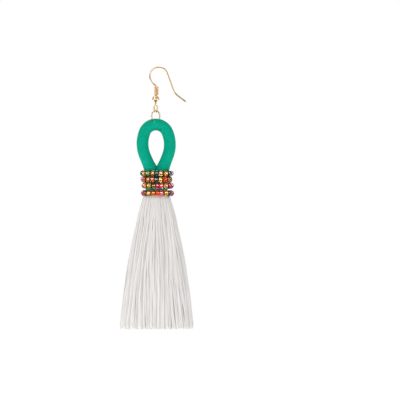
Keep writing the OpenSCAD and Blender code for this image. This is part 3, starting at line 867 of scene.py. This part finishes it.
def makeFloor():
    # a disc: the radius times each angle's cosine and sine, at two heights
    made, tree = newMaterial("paleFloor")
    surface = addNode(tree, "ShaderNodeBsdfPrincipled",
                      {"Base Color": linear(studio["floor"]), "Roughness": studio["floorRoughness"],
                       "Emission Color": white, "Emission Strength": studio["glow"]})
    a = circle(studio["floorSides"])
    floorZ = boxOf("tassel")[0][2] - studio["floorDrop"]
    rim = studio["floorSize"] / 2 * np.stack([np.cos(a), np.sin(a)], -1)
    top = np.concatenate([rim, np.full((len(a), 1), floorZ)], 1)
    piece = gridMesh("floor", np.stack([top - [0, 0, studio["floorThick"]], top]))
    piece.data.materials.append(finishWith(made, surface))


def makeWorld():
    # The camera sees plain white. Other rays see white of strength around, times a share that
    # rises from front to 1 as the ray's Y goes from dimFrom to dimTo.
    world = bpy.data.worlds.new("studio")
    bpy.context.scene.world = world
    world.use_nodes = True
    tree = world.node_tree
    tree.nodes.clear()
    place = addNode(tree, "ShaderNodeTexCoord")
    parts = addNode(tree, "ShaderNodeSeparateXYZ", {}, {0: place.outputs["Generated"]})
    ramp = addNode(tree, "ShaderNodeMapRange",
                   {"From Min": studio["dimFrom"], "From Max": studio["dimTo"],
                    "To Min": studio["front"], "To Max": 1.0}, {0: parts.outputs["Y"]})
    around = addNode(tree, "ShaderNodeBackground", {"Color": white})
    power = addNode(tree, "ShaderNodeMath", {"operation": "MULTIPLY", 1: studio["around"]},
                    {0: ramp.outputs[0]})
    tree.links.new(power.outputs[0], around.inputs["Strength"])
    seen = addNode(tree, "ShaderNodeBackground", {"Color": white, "Strength": 1.0})
    ray = addNode(tree, "ShaderNodeLightPath")
    mix = addNode(tree, "ShaderNodeMixShader", {}, {0: ray.outputs["Is Camera Ray"],
                                                     1: around.outputs[0], 2: seen.outputs[0]})
    addNode(tree, "ShaderNodeOutputWorld", {}, {"Surface": mix.outputs[0]})


# Brown card low in front of the metal, which only reflections see, as a jeweller's photograph
# has: it gives the gold its deeper tones
card = {"place": (0, -75, -119), "half": (170, 68), "thick": 1, "sides": 32,
        "colour": "#8E6424", "roughness": 0.9}


def makeCard():
    # an ellipse of half sizes (wide, high), square to the line from the ball to it
    made, tree = newMaterial("darkCard")
    dull = addNode(tree, "ShaderNodeBsdfPrincipled",
                   {"Base Color": linear(card["colour"]), "Roughness": card["roughness"]})
    a = circle(card["sides"])[:, None]
    place = np.array(card["place"], float)
    away = unit(place - ballMiddle)
    u = unit(np.cross(away, [0, 0, 1]))
    wide, high = card["half"]
    rim = wide * np.cos(a) * u + high * np.sin(a) * np.cross(away, u)
    piece = gridMesh("darkCard", np.stack([place - card["thick"] * away + rim, place + rim]))
    piece.data.materials.append(finishWith(made, dull))
    piece.visible_camera = piece.visible_shadow = piece.visible_diffuse = False


# Soft lights, by place and power, all turned to one aim
lamps = {"keyLight": ((-600, -800, 500), 4.6), "fillLight": ((800, -700, 150), 2.2),
         "topLight": ((0, 200, 900), 4.1)}
lampSize, lampAim = (1000, 1000), (0, 0, -54)


def makeLight(name, place, size, power):
    # an ellipse of light, square to the line to its aim
    data = bpy.data.lights.new(name, "AREA")
    data.shape, data.size, data.size_y, data.energy = "ELLIPSE", size[0] * mm, size[1] * mm, power
    lamp = bpy.data.objects.new(name, data)
    bpy.context.scene.collection.objects.link(lamp)
    lamp.location = [v * mm for v in place]
    way = Vector(lampAim) * mm - lamp.location
    lamp.rotation_euler = way.to_track_quat("-Z", "Y").to_euler()
    return lamp


# Bright narrow strips that shine on the beads alone and draw the line along each, by place,
# size, power and whether they shine through clear glass
glints = {"frontGlint": ((-100, -1000, 220), (1600, 400), 33, True),
          "backGlint": ((100, 700, 600), (600, 250), 4, False)}


def makeGlint(name, place, size, power, through):
    # a light whose only receivers are the beads, and which their dull colour doesn't see
    lamp = makeLight(name, place, size, power)
    lamp.visible_diffuse, lamp.visible_transmission = False, through
    lit = bpy.data.collections.new(name + "Receivers")
    lit.objects.link(beads)
    lamp.light_linking.receiver_collection = lit


# Level camera: the picture's middle, its span at the earring, and how near and far it sees
view = {"across": 16.88, "up": -54.1, "span": 164, "away": 1600, "sensor": 36,
        "near": 50, "far": 20000}


def makeCamera():
    # the lens that spans the picture from there is the sensor times the distance over the span
    data = bpy.data.cameras.new("camera")
    data.sensor_width = view["sensor"]
    data.lens = view["sensor"] * view["away"] / view["span"]
    data.clip_start, data.clip_end = view["near"] * mm, view["far"] * mm
    camera = bpy.data.objects.new("camera", data)
    bpy.context.scene.collection.objects.link(camera)
    camera.location = (view["across"] * mm, -view["away"] * mm, view["up"] * mm)
    camera.rotation_euler = (math.pi / 2, 0, 0)
    bpy.context.scene.camera = camera


makeFloor()
makeWorld()
for name, (place, power) in lamps.items():
    makeLight(name, place, lampSize, power)
for name, glint in glints.items():
    makeGlint(name, *glint)
makeCard()
makeCamera()
bpy.context.scene.view_settings.view_transform = "Standard"
print("stage and camera made")
